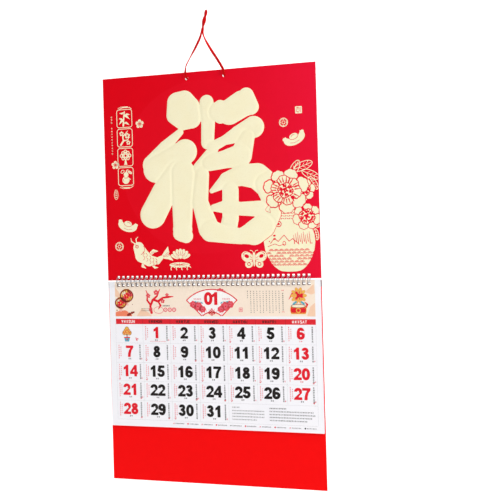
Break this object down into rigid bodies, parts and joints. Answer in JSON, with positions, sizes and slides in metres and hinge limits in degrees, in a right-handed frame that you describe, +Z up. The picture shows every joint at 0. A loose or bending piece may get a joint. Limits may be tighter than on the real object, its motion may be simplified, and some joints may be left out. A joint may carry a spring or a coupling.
{
  "type": "wall calendar",
  "caption": "Wall calendar that hangs from a knotted cord: a stiff header card, month sheets and a back board, turning on one twin-loop wire.",
  "frame": {"origin": "top of the hanging cord's loop, where a nail or hook carries it", "axes": "+X to the reader's right, -Y out of the printed face towards the room, +Z up"},
  "size_m": [0.37, 0.0153, 0.786],
  "materials": {
    "header_card": "laminated card, satin",
    "sheet_paper": "coated paper",
    "back_card": "laminated card, satin",
    "binding_wire": "bright plated steel",
    "cord_fibre": "woven"
  },
  "bodies": {
    "header": {"header_board": "header_card", "wire_binding": "binding_wire", "hanging_cord": "cord_fibre"},
    "sheets": {"month_sheets": "sheet_paper"},
    "backing": {"back_board": "back_card"}
  },
  "joints": [
    {"name": "page_flip", "type": "hinge", "parent": "header", "child": "sheets", "pos_m": [-0.0043, -0.0015, -0.4467], "axis": [-1, 0, 0], "range_deg": [0, 175]},
    {"name": "back_board_swing", "type": "hinge", "parent": "header", "child": "backing", "pos_m": [-0.0043, -0.0015, -0.4467], "axis": [1, 0, 0], "range_deg": [0, 50]}
  ]
}
